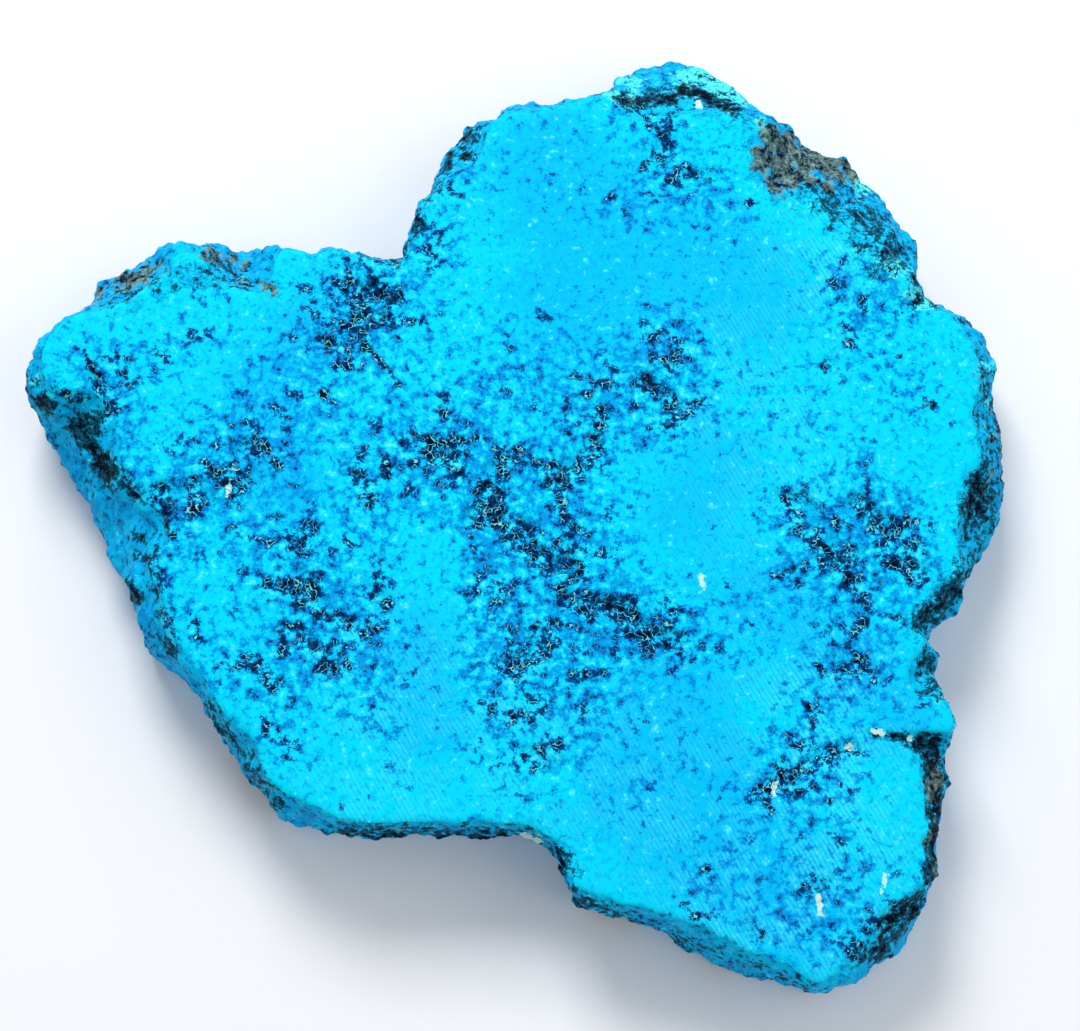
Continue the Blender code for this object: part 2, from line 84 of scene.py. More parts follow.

# Dark veins, read from the photograph: strength, half width, and the points they follow.
VEINS = [
    # the middle
    (1, 0.4, [(-6, 0), (-4.6, 0.1)]),
    (0.8, 1, [(-5, 2.2), (-3.4, 1), (-1.8, 1.2)]),
    (1, 0.9, [(-2, 0.2), (-1, -0.6), (-0.8, -1.8)]),
    (0.7, 0.7, [(0, 0.4), (1.6, -0.2)]),
    (1, 1.5, [(1.6, -2.4), (2.6, -3), (3.2, -4.2)]),
    (0.9, 0.7, [(4.8, 2.6), (5.6, 1.4), (6.2, 0.2), (7.6, -0.2)]),
    (0.7, 0.6, [(5, -1.2), (6.2, -0.6)]),
    (0.8, 0.7, [(5.6, -2.8), (7.2, -2.4), (8.4, -3.4), (10.4, -3.2), (11.8, -2.8)]),
    (0.9, 0.9, [(5.2, -4.4), (6.6, -4), (7.4, -5.2), (6.8, -6.2)]),
    (0.6, 0.5, [(10.4, 2.8), (10.4, 1), (12.2, 1)]),
    (0.6, 0.5, [(13.2, 2.8)]),
    (1, 0.9, [(5, -7.6), (5.6, -8.8), (7, -9.3), (8.6, -9)]),
    (1, 0.6, [(7.6, -10), (8.4, -10.8)]),
    (1, 0.8, [(10.4, -9.6), (11.4, -9.2), (13.6, -9)]),
    (1, 1, [(11.4, -10), (13, -11.2), (12.6, -12.2)]),
    (0.9, 1, [(13.6, -11.6), (14.8, -12.8), (15.2, -14)]),
    (0.9, 1, [(16.8, -12.4), (17.4, -13.4), (18.4, -14.2), (19.6, -13.6)]),
    (0.9, 0.8, [(17.6, -8.8), (18.4, -10.2)]),
    (0.5, 0.6, [(15, -9.6), (16.4, -9.6)]),
    (0.9, 0.35, [(3.6, -11.2), (5.4, -11.6), (7, -12)]),
    (0.8, 1, [(2.2, -12), (2.6, -13.2), (4, -13.6)]),
    (0.6, 0.7, [(-1.2, -12), (-1, -13.6)]),
    (0.9, 1, [(0.4, -15.6), (2.6, -15.4), (2.2, -16.4)]),
    (0.9, 0.9, [(-2.2, -16.4), (-1, -17.6), (0, -17.8)]),
    (0.7, 0.8, [(7.2, -14.4)]),
    (0.9, 0.8, [(7.2, -17.6)]),
    (0.6, 0.5, [(5, -18.4), (7.2, -18.4)]),
    (0.7, 0.6, [(10.4, -16.6), (10, -17.4)]),
    (0.6, 0.4, [(9.2, -13.9)]),
    (0.6, 0.6, [(11.2, -14.6), (12, -15.8)]),
    (0.6, 0.6, [(14.8, -15.4)]),
    (0.6, 0.6, [(18.6, -17.2), (19.8, -16), (21.4, -15.2)]),
    (0.6, 0.5, [(22.4, -14.4), (24.4, -14.6)]),
    (0.5, 0.4, [(25.5, -13.3)]),
    (0.7, 1.1, [(-4.2, -7.2), (-2.2, -6.8), (-2, -8.2)]),
    (0.8, 0.6, [(-3, -11)]),
    (0.6, 0.6, [(-4.8, -16)]),
    (0.6, 0.7, [(-4.8, -2.8)]),
    (0.6, 0.6, [(23.4, -7.6), (25, -6.9)]),
    (0.45, 0.5, [(18.6, -19.2)]),
    (0.5, 0.7, [(-5, -10)]),
    # below the middle
    (0.75, 1, [(-4, -21), (-2, -21.4), (-0.6, -22.8)]),
    (0.8, 1, [(1, -20.4), (2.8, -20.8), (2.2, -22), (0.4, -22)]),
    (1, 0.7, [(7.8, -21.8)]),
    (0.7, 0.7, [(13.8, -22.8), (14.4, -23.6)]),
    (0.5, 0.5, [(12.4, -21)]),
    (0.7, 0.9, [(-4.6, -25.4), (-3, -27.2), (-2, -28)]),
    (0.9, 1, [(0.4, -27), (2, -28), (3, -26.4), (3.6, -25.4), (4.6, -26.2)]),
    (0.45, 0.6, [(11.4, -28.8), (13, -29)]),
    (0.45, 0.5, [(16, -30)]),
    (0.5, 0.5, [(-1, -30.4), (0.4, -31.4)]),
    (0.5, 0.5, [(2.6, -33)]),
    (0.5, 0.4, [(-3.6, -33.4), (-3.2, -34.2)]),
    (0.6, 0.5, [(-17.8, -21.4), (-15.6, -21.6)]),
    (0.6, 0.8, [(-29.2, -22.4), (-29.4, -24)]),
    (0.8, 0.7, [(-28.4, -24.6), (-26.6, -25.4), (-26, -26.4)]),
    (0.5, 0.3, [(-27.4, -27), (-25.4, -28.4), (-24.6, -29)]),
    (0.5, 0.4, [(-20.6, -32.6), (-19.8, -33)]),
    # lower left
    (1, 1, [(-18.8, 5.6), (-17.8, 4.6), (-17.4, 3.2)]),
    (0.6, 0.7, [(-13.4, 5.6), (-12.6, 4.2)]),
    (0.6, 0.6, [(-8.6, 5.2), (-8.4, 4)]),
    (0.6, 0.5, [(-11.6, 0.8)]),
    (0.5, 0.6, [(-19.6, 2.4), (-18.8, 1.8)]),
    (0.6, 0.7, [(-28.6, 1.2)]),
    (0.9, 0.7, [(-29.4, -1.8)]),
    (0.9, 1.1, [(-27, -1.6), (-25.4, -1.4), (-24.6, -0.4), (-24.8, -2.4)]),
    (0.5, 0.6, [(-24.4, 2)]),
    (0.7, 0.8, [(-21.6, -2.4), (-20.6, -1.4), (-18.8, -2.2)]),
    (0.6, 0.6, [(-20, -4.2)]),
    (0.5, 0.4, [(-27.8, -3.8)]),
    (0.9, 1.1, [(-29.4, -7), (-27.4, -7), (-26, -7.4), (-24.6, -8)]),
    (0.9, 0.9, [(-25, -6.4), (-25, -9.2)]),
    (0.7, 0.7, [(-23.4, -5.4), (-23.6, -7)]),
    (0.9, 1, [(-16.4, -5.2), (-16, -6.6), (-16.8, -8), (-16, -9.2), (-15, -8.4)]),
    (0.5, 0.5, [(-18.8, -6.6)]),
    (0.9, 0.8, [(-23.2, -10.6)]),
    (0.9, 0.8, [(-21.6, -11), (-20.4, -11.4), (-19.4, -12), (-18.6, -13)]),
    (0.8, 0.7, [(-17.4, -11.4), (-16, -12), (-14.8, -11.4)]),
    (0.8, 0.8, [(-27.4, -12.2), (-26, -11.6), (-25.2, -12.6)]),
    (0.8, 0.9, [(-25, -13.6), (-24, -14.4), (-23.2, -15)]),
    (0.8, 0.5, [(-28.6, -15), (-26.8, -14.8)]),
    (0.6, 0.7, [(-22, -14), (-20.4, -14)]),
    (0.95, 0.9, [(-31.4, -15.8), (-29.8, -17), (-28.4, -18.8)]),
    (0.8, 0.25, [(-28.4, -18.8), (-26.2, -20.4)]),
    (0.9, 0.9, [(-22.4, -17), (-21.4, -16.4), (-19.8, -16.8)]),
    (0.6, 0.5, [(-22.4, -18.6)]),
    (0.8, 0.5, [(-16.6, -16.8)]),
    (0.9, 0.8, [(-13.4, -17.6), (-12.4, -17.8)]),
    (0.45, 0.6, [(-14.4, -14.6), (-13, -14)]),
    (0.5, 0.3, [(-16.2, -0.8)]),
    (0.7, 0.6, [(-41.4, 0.6), (-41, -0.8), (-39.6, -1)]),
    (0.7, 0.6, [(-39, 1), (-38, 2.6)]),
    (0.5, 0.5, [(-37, -3.8), (-35.6, -3)]),
    (0.8, 0.6, [(-33, -0.4), (-31.6, -1.2)]),
    (0.6, 0.5, [(-32.6, -4.8), (-32, -5.4)]),
    (0.9, 0.9, [(-38, -11.4), (-37.4, -12.8)]),
    (0.7, 0.7, [(-34.6, -16.4), (-33, -16.6)]),
    (0.6, 0.6, [(-34.4, -18.4)]),
    (0.5, 0.6, [(-37.6, -15)]),
    # left lobe
    (0.7, 0.6, [(-52, 21.8)]),
    (1, 0.7, [(-51, 20.4), (-50.4, 19.4), (-50, 18), (-49.8, 16.8), (-48.6, 15.6)]),
    (0.6, 0.6, [(-49, 20.4), (-47, 20.8), (-46, 20.6)]),
    (0.6, 0.7, [(-47.8, 19), (-46.4, 18.6)]),
    (0.6, 0.5, [(-47, 17.2), (-45.6, 17.4), (-44, 18)]),
    (0.8, 0.7, [(-43, 21.4), (-42, 21.4), (-42, 19.8)]),
    (0.9, 0.7, [(-38.8, 23.4), (-37.6, 23.4)]),
    (0.6, 0.5, [(-38.6, 27.8), (-38, 28.8)]),
    (0.6, 0.4, [(-34.4, 27.2)]),
    (0.8, 0.5, [(-34, 21.2)]),
    (0.6, 0.7, [(-42.4, 9.8), (-40, 9.8), (-39, 10.6)]),
    (0.5, 0.6, [(-36.6, 12.6)]),
    (0.5, 0.7, [(-35.4, 9.8), (-34.4, 10.4)]),
    (0.8, 0.6, [(-32.2, 16.4)]),
    (0.9, 0.8, [(-32, 13.4), (-31.4, 12), (-30.8, 10.8), (-30.4, 9.6)]),
    (1, 1, [(-31.4, 9.4)]),
    (0.9, 0.6, [(-29.6, 9.2), (-29.2, 8.2), (-28.4, 7.2)]),
    (0.6, 0.8, [(-29.4, 14.2), (-27.4, 13.6)]),
    (0.9, 0.8, [(-36.8, 7.4), (-35.4, 6.2), (-33.6, 7.4)]),
    (1, 0.8, [(-38.4, 5.4), (-38, 3.4), (-38, 2.2)]),
    (0.9, 0.8, [(-34.6, 5.2), (-33.2, 5.2), (-31.8, 5.4)]),
    (0.7, 0.7, [(-33.4, 3.2), (-33, 1.4)]),
    (0.9, 0.8, [(-46, 5.4), (-45.4, 4), (-43.6, 3.6)]),
    (1, 1, [(-42.2, 4.4), (-41.6, 3), (-41.4, 2.2)]),
    (0.6, 2.4, [(-24.4, 27.8), (-23.4, 25)]),
    (0.8, 0.6, [(-27, 23.2)]),
    (1, 1.2, [(-20.6, 29.4), (-19, 28.4), (-17, 29), (-16, 29)]),
    (1, 1.1, [(-19, 27.2), (-18.8, 26), (-19.6, 24.6)]),
    (0.8, 1.1, [(-15, 27.4), (-14, 28.4)]),
    (0.8, 0.7, [(-17, 25), (-15.4, 25.2), (-13.6, 25.4), (-11, 25)]),
    (0.9, 0.8, [(-18.6, 23.4), (-18.2, 21.6)]),
    (1, 0.8, [(-23, 22.6), (-22, 22.2), (-21, 21.8)]),
    (0.6, 0.7, [(-25.4, 21)]),
    (0.7, 0.7, [(-20, 20.4), (-19.4, 19.6), (-21.6, 19.4)]),
    (1, 0.3, [(-18, 22.4), (-17, 21), (-16.2, 20), (-15.4, 18.8), (-14.8, 17.6), (-13.8, 16.8)]),
    (0.5, 0.5, [(-14, 23)]),
    (0.5, 0.5, [(-13, 19.4)]),
    (0.7, 1, [(-19.8, 33), (-17, 32), (-17.4, 30.6)]),
    (0.9, 0.6, [(-15, 32.4), (-14.4, 31.8)]),
    (0.6, 0.8, [(-22, 32), (-21, 30.8)]),
    (0.6, 0.8, [(-11.6, 33), (-10, 32.4)]),
    (0.8, 0.6, [(-26.8, 16.4), (-25.4, 15.8)]),
    (0.9, 0.6, [(-23.4, 16.4), (-22.6, 15.8)]),
    (0.5, 0.6, [(-28, 12)]),
    (0.6, 0.7, [(-27.6, 8.8)]),
    (0.5, 0.5, [(-22, 8.2)]),
    (0.6, 0.8, [(-19, 9), (-18.6, 8), (-19, 6.6)]),
    (0.6, 0.6, [(-17.6, 9.6)]),
    (0.7, 0.8, [(-15.8, 7.6), (-15.6, 6.2)]),
    (1, 0.9, [(-12.2, 11), (-11, 10.6), (-9.6, 10.2), (-8, 9.8), (-6.8, 10.2)]),
    (0.9, 1, [(-10.4, 9.2), (-9.4, 8.4), (-7.8, 8.4), (-7.2, 7.2), (-7.2, 6.2)]),
    (0.7, 0.7, [(-13, 8.4), (-12.4, 7.8)]),
    (0.8, 0.5, [(-10.4, 6.4)]),
    (0.6, 0.6, [(-5.6, 8.8)]),
    (0.7, 0.8, [(-9, 14.4), (-8.6, 13.2)]),
    (0.6, 0.6, [(-9.4, 15.8), (-8.4, 16)]),
    (0.6, 0.5, [(-5.8, 12.4)]),
    (0.6, 0.7, [(-14, 10.6)]),
    (0.45, 0.7, [(-17, 13), (-16.8, 12)]),
    # above the middle
    (0.7, 0.6, [(2.8, 26.6), (3.6, 25.4)]),
    (0.5, 0.5, [(11, 27), (11.2, 26)]),
    (0.6, 0.3, [(6.4, 24.6)]),
    (0.6, 0.6, [(-1.4, 22)]),
    (0.5, 0.5, [(-1, 19.2)]),
    (0.9, 0.6, [(-2, 17), (-0.8, 16.6)]),
    (0.8, 0.9, [(14.8, 24), (15.6, 23.2), (16.4, 24)]),
    (0.8, 0.8, [(18.4, 23), (19.6, 22)]),
    (0.6, 0.5, [(18.8, 25.2)]),
    (0.6, 0.5, [(21.4, 24)]),
    (0.6, 0.8, [(10, 21.4), (10.6, 19.8), (11.4, 19), (12.2, 18.4)]),
    (0.8, 0.9, [(7.2, 18.4)]),
    (0.8, 0.5, [(9.6, 17.8), (11, 17.4)]),
    (0.6, 0.6, [(11.6, 16.6)]),
    (0.9, 0.6, [(8.4, 16.2)]),
    (0.7, 0.6, [(5.8, 15.4)]),
    (0.6, 0.4, [(1.8, 15), (2.4, 14)]),
    (0.9, 0.8, [(17, 20.2), (18, 19.8), (19, 20), (17.8, 19)]),
    (1, 0.9, [(15, 18), (15.4, 16.8), (16.6, 16.6), (17.8, 15.6), (18.2, 15)]),
    (0.95, 0.8, [(18.4, 14.4), (19.2, 13.6), (20, 14.4), (21.4, 15.2)]),
    (0.6, 0.6, [(15.6, 12)]),
    (0.8, 0.8, [(17.4, 12), (18.8, 12.6), (19.4, 13)]),
    (0.6, 0.3, [(19, 10.4)]),
    (0.6, 0.6, [(14, 14.8)]),
    (1, 0.8, [(9.6, 13.6), (9.8, 12.6), (9.2, 11.4), (8.8, 10.4), (9.6, 9.4)]),
    (0.7, 0.7, [(6, 13), (7.4, 13.2)]),
    (0.9, 0.9, [(7.6, 8.4), (7.4, 7.2), (6.4, 6.2), (5.4, 5.6)]),
    (1, 0.9, [(3.6, 7.4), (3.8, 6), (4.6, 5.2), (5.2, 4.4)]),
    (0.6, 0.6, [(9.4, 8), (10.6, 6.4)]),
    (0.9, 0.7, [(-1.8, 9.4), (-1.2, 8.4), (0.4, 9.4)]),
    (0.9, 0.8, [(-1.4, 7.6), (-2, 6.4)]),
    (1, 1, [(-4, 4.8), (-2.6, 4.4), (-2.4, 3.4), (-3.4, 3)]),
    (0.9, 0.4, [(-5, 10.8), (-4, 10.6)]),
    (0.5, 0.5, [(1.8, 8.4), (2.2, 7.2)]),
    # top lobe
    (0.6, 0.4, [(3, 47.8)]),
    (0.6, 0.4, [(5.6, 46.8), (6.2, 46.6)]),
    (0.5, 0.6, [(3, 44.6), (4.6, 43.2)]),
    (0.7, 0.5, [(8, 41.6), (9.6, 41.2), (11, 41)]),
    (0.8, 0.3, [(11.6, 40), (12.8, 38.4)]),
    (0.6, 0.3, [(11, 36.8)]),
    (0.5, 0.6, [(2.6, 39.6), (4.8, 38.8)]),
    (1, 1, [(12.6, 52.8), (14, 52), (16, 53), (18, 52.6), (20, 54), (22, 53.4), (25, 52), (26, 51.4)]),
    (0.9, 1, [(15.6, 50), (18, 49.6)]),
    (1, 0.9, [(17.8, 48.6), (18, 47), (17.4, 45.8), (16.2, 45.2), (15.4, 44.6)]),
    (0.8, 0.9, [(19.6, 44), (21, 43.6), (22.8, 43.4)]),
    (0.8, 0.7, [(18, 42.6), (19.4, 42.4)]),
    (0.8, 0.7, [(16, 41), (17, 40.6)]),
    (0.6, 0.5, [(21, 41.2)]),
    (0.8, 0.5, [(27, 39.6), (28, 39.8)]),
    (0.6, 0.5, [(24, 39.8)]),
    (0.6, 0.5, [(20.4, 36.6), (22.6, 36.2)]),
    (0.6, 0.3, [(24, 36.8)]),
    (0.7, 0.5, [(26, 34)]),
    (0.5, 0.6, [(15.4, 31.6), (16.4, 30.6)]),
    (0.8, 0.7, [(-9.4, 42), (-7.4, 40.6)]),
    (0.8, 0.8, [(-12.4, 37.6), (-10.4, 36.4), (-9.4, 35.2)]),
    (0.7, 0.8, [(-11, 34), (-10.6, 31.6)]),
    (1, 0.7, [(-6.6, 45.6), (-5.4, 45.4)]),
    (0.9, 0.8, [(-10, 44), (-8.6, 44.6)]),
    (0.8, 1, [(-8, 47.6), (-5, 48.6)]),
    (0.5, 0.3, [(7, 53.6), (10.4, 53.4)]),
    # upper right
    (1, 0.8, [(37.2, 29.8)]),
    (0.6, 0.5, [(38.4, 27.6)]),
    (0.8, 0.9, [(38.4, 25), (39, 24), (39.6, 22.8)]),
    (0.6, 0.6, [(38.8, 32.8)]),
    (0.6, 1, [(34, 39), (35.6, 38)]),
    (0.6, 0.5, [(41.6, 29), (41, 27.6)]),
    (0.9, 0.5, [(41.4, 26.4)]),
    (0.9, 0.7, [(44.2, 33.8), (44.6, 32.6)]),
    (0.9, 0.6, [(47.4, 30.6), (48, 30)]),
    (0.9, 0.6, [(48.6, 28.6), (47.6, 27.6), (46, 26.4), (45.4, 26)]),
    (0.9, 0.7, [(36.6, 19.6), (37.6, 18.8)]),
    (0.8, 0.5, [(45.6, 20.8), (48, 20.2)]),
    (0.6, 0.4, [(42, 20.4)]),
    (0.8, 0.4, [(31.6, 15.2)]),
    (0.6, 0.5, [(30.6, 14)]),
    (0.9, 0.4, [(44, 16), (45, 15.8)]),
    (0.9, 0.6, [(48, 14.8), (49.4, 14.8)]),
    (0.6, 0.4, [(41.4, 8), (42, 7.6)]),
    (0.5, 0.4, [(29, 8.6)]),
    (0.5, 0.6, [(29.2, 18.4)]),
    # right
    (0.8, 0.7, [(31, 4.4), (31.4, 3.2), (32.6, 3.2)]),
    (0.6, 0.8, [(34, 4), (35.8, 3.4), (36, 2)]),
    (0.9, 0.8, [(32.6, 2), (33, 0.2), (34, -0.6), (35.2, -0.6)]),
    (0.9, 0.5, [(37.4, 0.8), (38.4, 0.4)]),
    (1, 0.6, [(34, -2.2), (35.4, -2.4)]),
    (1, 1.2, [(36.6, -3.4), (37.6, -3.8), (39, -3.4)]),
    (0.9, 0.6, [(38, -5), (38.6, -5.8)]),
    (0.8, 0.8, [(39.8, -6.2), (40, -7.2), (38.8, -7.2)]),
    (0.6, 0.6, [(40.8, -8), (41, -9.4)]),
    (0.8, 0.3, [(42.2, -10.6), (44.8, -11), (45.2, -11.8)]),
    (0.6, 0.5, [(41, 6), (41, 4), (40.4, 2.8)]),
    (1, 0.8, [(40, 2.8), (41, 2.2), (41.6, 1.2)]),
    (1, 1, [(42, 0.6), (42.6, -0.4), (43.6, -1.4), (44.4, -0.8)]),
    (0.8, 0.6, [(44, 0.6), (45.6, 0.8), (46.8, 0.2), (49, 0.2)]),
    (0.7, 1, [(42.4, -2.4), (43, -3.6), (44.4, -4), (45.6, -3.6)]),
    (0.9, 0.9, [(46.4, -2), (46.8, -4), (46.8, -5.6), (47.8, -6.2)]),
    (0.9, 0.8, [(44.8, -5), (46, -6)]),
    (0.9, 0.4, [(30, -6.2), (31.4, -5.6), (32.4, -5)]),
    (0.6, 0.5, [(33.4, -4.6), (36, -4.8)]),
    (0.6, 0.6, [(32.6, -7.2), (34, -7.4)]),
    (0.5, 0.4, [(29.6, -9.8), (30.2, -10.6)]),
    (0.6, 0.5, [(27.4, -11.6)]),
    (0.8, 0.8, [(36, -12), (37, -13.4), (38, -12.6), (39.6, -12.2), (40.6, -11.4)]),
    (0.5, 0.5, [(38.6, -14.4)]),
    (0.9, 0.5, [(35, -16.4), (35.4, -17)]),
    (1, 0.7, [(36.2, -17.8), (37.4, -17.6), (38.8, -17), (39.4, -16), (40.4, -16.4)]),
    (1, 0.7, [(40.4, -16.4), (41.2, -17.2), (41.6, -18.2)]),
    (0.6, 0.5, [(42.8, -18.6)]),
    (0.8, 0.5, [(33.4, -21), (35, -22), (34.2, -22.8), (34.4, -23.6)]),
    (0.9, 0.4, [(46.2, -20.4), (47.2, -20.4), (47.2, -21.4), (46.2, -21.4)]),
    # foot
    (0.6, 0.5, [(31.6, -24.8)]),
    (0.8, 0.7, [(32.4, -26), (34, -25.8)]),
    (0.9, 0.8, [(37, -26.6), (38.6, -26), (39.4, -26.6)]),
    (0.95, 0.8, [(36, -27.4), (34.4, -28.4), (32.6, -28.8), (31, -29.2), (30.4, -28.2)]),
    (1, 1, [(30.4, -30.2), (28.4, -31.4), (27.6, -32.4), (29, -32.6)]),
    (0.8, 0.7, [(31.6, -30.8), (33, -31.2), (34, -30.8)]),
    (0.6, 0.4, [(37.4, -30.8), (39.4, -31)]),
    (0.6, 0.5, [(36, -32.4)]),
    (0.5, 0.5, [(23.4, -31), (24, -32.4)]),
    (0.5, 0.6, [(20, -24.4), (21.4, -25.8)]),
    (0.6, 0.5, [(18.4, -27.6)]),
    (0.5, 0.5, [(26.8, -36.8)]),
    (0.6, 0.5, [(32.6, -36.6)]),
    (0.6, 0.5, [(36.4, -36)]),
    (0.6, 0.5, [(37, -37.4), (39, -37.6)]),
    (0.6, 0.5, [(21.8, -39.6), (22, -40.6)]),
    (0.45, 0.5, [(23.6, -42)]),
    (0.8, 0.8, [(34.4, -41.2), (36, -41.6), (37, -42)]),
    (0.9, 0.7, [(32.2, -42.8), (33.6, -42.6)]),
    (1, 0.8, [(28, -47.6)]),
    (0.6, 0.6, [(33, -47.4), (33.6, -48.4)]),
    (0.8, 0.8, [(36.4, -48), (38, -48.6)]),
    (1, 0.8, [(39, -49), (38.6, -50.6)]),
    (1, 1.3, [(41.4, -46.4), (43, -45.8), (44, -44.6), (45.4, -45)]),
    (0.6, 0.6, [(40, -47)]),
    (0.6, 0.5, [(43.4, -40.6)]),
    (0.8, 0.9, [(19, -44.4), (20.6, -45.4), (22, -46)]),
    # worn tip and bevel of the left lobe
    (1, 0.9, [(-56.6, 15.2), (-55.6, 14.2)]),
    (0.9, 0.7, [(-56, 15.6), (-54.6, 16.6), (-53, 15.8), (-51.6, 15.6)]),
    (1, 1.4, [(-52, 12.4), (-51.4, 11.4), (-50.6, 12.8)]),
    (1, 0.9, [(-50.6, 10), (-49.4, 8.2)]),
    (1, 1.2, [(-49, 7.6), (-48, 6.8), (-48.4, 5.6)]),
    (0.8, 0.8, [(-48.6, 13.4), (-48, 14.4)]),
    (0.8, 0.7, [(-45, -1.2), (-44, -1.2)]),
    (0.8, 0.7, [(-44.4, -3.6), (-43.2, -4), (-42.4, -3)]),
    (0.8, 0.8, [(-42.4, -5.4), (-42, -7.4)]),
    (0.8, 1, [(-45.6, -6.8), (-44.8, -8.4)]),
    (0.9, 0.8, [(-41.4, -10), (-40.6, -12), (-40.4, -14.8)]),
]

# Broad patches of deeper blue. This list and those below have the same form as the veins.
AZURE_PATCHES = [
    (0.8, 8.0, [(4.0, 44.0), (8.0, 34.0), (7.0, 27.0)]),
    (0.8, 7.0, [(28.0, 28.0), (22.0, 33.0)]),
    (0.7, 6.0, [(19.0, -20.0), (22.0, -34.0)]),
    (0.6, 6.0, [(24.0, 8.0), (20.0, 2.0)]),
    (0.6, 5.0, [(-12.0, -14.0), (-10.0, -24.0)]),
    (0.6, 5.0, [(-23.0, 26.0), (-31.0, 16.0), (-27.0, 5.0)]),
    (0.6, 5.0, [(28.0, -8.0), (44.0, -22.0)]),
    # painted shade: the face darker toward its foot, where less light falls
    (0.7, 8.0, [(14.0, -31.0), (32.0, -45.0)]),
]

# Patches clouded with blue specks, between the veins.
CLOUDY_PATCHES = [
    (0.20, 3.0, [(-36.0, 10.0), (-29.0, 9.0)]),
    (0.20, 4.0, [(20.0, 22.0), (25.0, 15.0)]),
    (0.60, 2.2, [(-4.0, -3.0), (-3.5, -9.0), (-3.5, -18.0)]),
    (0.30, 4.0, [(-6.0, 14.0), (-5.0, 25.0)]),
    (0.30, 3.0, [(0.0, 18.0), (4.0, 22.0)]),
    (0.35, 2.5, [(-28.0, 19.0), (-24.0, 15.0), (-20.0, 14.0)]),
    (0.35, 3.5, [(8.0, -26.0), (12.0, -33.0)]),
    (0.30, 4.0, [(22.0, -40.0), (34.0, -46.0)]),
    (0.30, 3.0, [(36.0, 12.0), (42.0, 6.0)]),
    (0.30, 3.0, [(-18.0, -22.0), (-14.0, -28.0)]),
]

# Where saw marks show on the face.
SAWN_PATCHES = [
    (1.0, 7.0, [(34, -22), (38, -34), (33, -46)]),
    (0.8, 5.0, [(36, 31), (40, 36)]),
    (0.7, 5.0, [(20, -38), (24, -46)]),
    (0.6, 7.0, [(-14, -20), (-16, -32)]),
    (0.5, 8.0, [(0, -24), (14, -30)]),
    (0.5, 8.0, [(26, 20), (30, 4)]),
]

# Pale chips that stand on the face and the rim.
PALE_CHIPS = [
    (0.9, 0.40, [(21.5, -5.9), (21.7, -7.3)]),
    (0.9, 0.38, [(34.5, -43.4), (34.8, -45.2)]),
    (0.9, 0.25, [(42.5, -40.8), (41.8, -43.0)]),
    (0.9, 0.35, [(-34.0, 4.8), (-34.2, 3.6)]),
    (0.9, 0.40, [(29.8, -30.4), (29.6, -31.6)]),
    (0.8, 0.30, [(40.8, -24.0), (42.4, -24.5)]),
    (0.7, 0.40, [(45.4, -25.0)]),
    (0.9, 0.50, [(38.6, -26.0)]),
    (0.8, 0.55, [(21.8, 52.1)]),
    (0.7, 0.45, [(0.6, -36.2), (2.6, -36.9)]),
]

# Dark stretches of the rind, and painted shade on the walls: along the bottom edge, in the recess
# under the right notch and in the cleft under the tongue.
DARK_RIND_AND_SHADE = [
    (0.4, 1.5, [(51.4, 28.0), (53.6, 24.0), (55.4, 19.0)]),
    (0.5, 2.2, [(55.5, 16.0), (56.4, 9.0)]),
    (0.8, 1.8, [(54.4, 5.4), (53.6, 2.0)]),
    (0.5, 2.2, [(55.4, 3.0), (53.6, -2.0), (52.6, -5.0)]),
    # painted shade in the recess under the right notch
    (0.9, 1.6, [(51.2, -7.4), (49.0, -9.6), (47.2, -11.0)]),
    (0.7, 1.4, [(47.6, -15.6), (47.8, -18.0), (48.6, -19.6)]),
    # painted shadow in the cleft under the tongue
    (1.0, 0.6, [(41.4, -24.4), (44.6, -25.0)]),
    (1.0, 1.4, [(46.6, -25.6), (48.0, -25.8), (48.6, -31.0), (48.6, -36.0), (48.0, -41.0)]),
    (0.8, 1.6, [(46.0, -44.0), (43.4, -46.6), (41.0, -50.2)]),
    (0.6, 2.9, [(34.0, 42.0), (38.6, 39.8), (43.0, 37.2), (45.0, 33.0)]),
    (0.3, 2.0, [(38.6, 36.4), (41.6, 34.0), (43.6, 30.6), (46.0, 27.6)]),
    (0.5, 2.4, [(-48.0, 27.6), (-42.0, 30.4), (-34.0, 31.0)]),
    # painted shade on the lower walls along the bottom edge, in the next two strokes
    (1.0, 2.2, [(-20.0, -37.4), (-10.0, -37.6), (0.0, -37.6), (4.4, -39.6)]),
    (0.9, 2.0, [(7.0, -44.6), (12.0, -47.2), (17.0, -49.0)]),
    (0.4, 1.8, [(20.0, -49.4), (28.0, -52.4), (34.0, -54.2)]),
    (0.5, 1.8, [(12.6, 52.4), (19.0, 53.4), (26.0, 51.8)]),
    (0.9, 1.2, [(-14.4, 33.8), (-12.8, 37.2)]),
    (0.6, 1.4, [(-12.6, 38.6), (-9.8, 43.6), (-6.6, 48.6)]),
    (0.6, 1.6, [(-36.0, -21.8), (-32.4, -26.6), (-28.0, -32.6)]),
]

# Pale stretches of the rind: chalky crust, and painted highlight on the upper rims that face the
# light.
PALE_AND_LIT_RIND = [
    (0.9, 2.0, [(10.0, 52.4), (14.0, 54.4)]),
    (1.0, 2.2, [(20.5, 55.2), (25.5, 54.0)]),
    (0.9, 1.6, [(29.5, 49.0), (32.0, 48.0)]),
    (0.8, 1.6, [(38.5, 43.8), (42.0, 41.2)]),
    (0.8, 2.0, [(44.0, 33.0), (47.0, 28.0), (50.0, 26.0)]),
    (0.7, 2.0, [(54.6, 20.0), (55.6, 16.0)]),
    (0.8, 1.4, [(54.5, 4.6), (54.8, 3.2)]),
    (0.6, 1.4, [(48.0, -12.6), (47.4, -14.0)]),
    (0.9, 1.6, [(49.0, -21.5), (50.6, -23.2)]),
    (0.5, 2.0, [(-57.4, 19.0), (-57.0, 16.0)]),
]

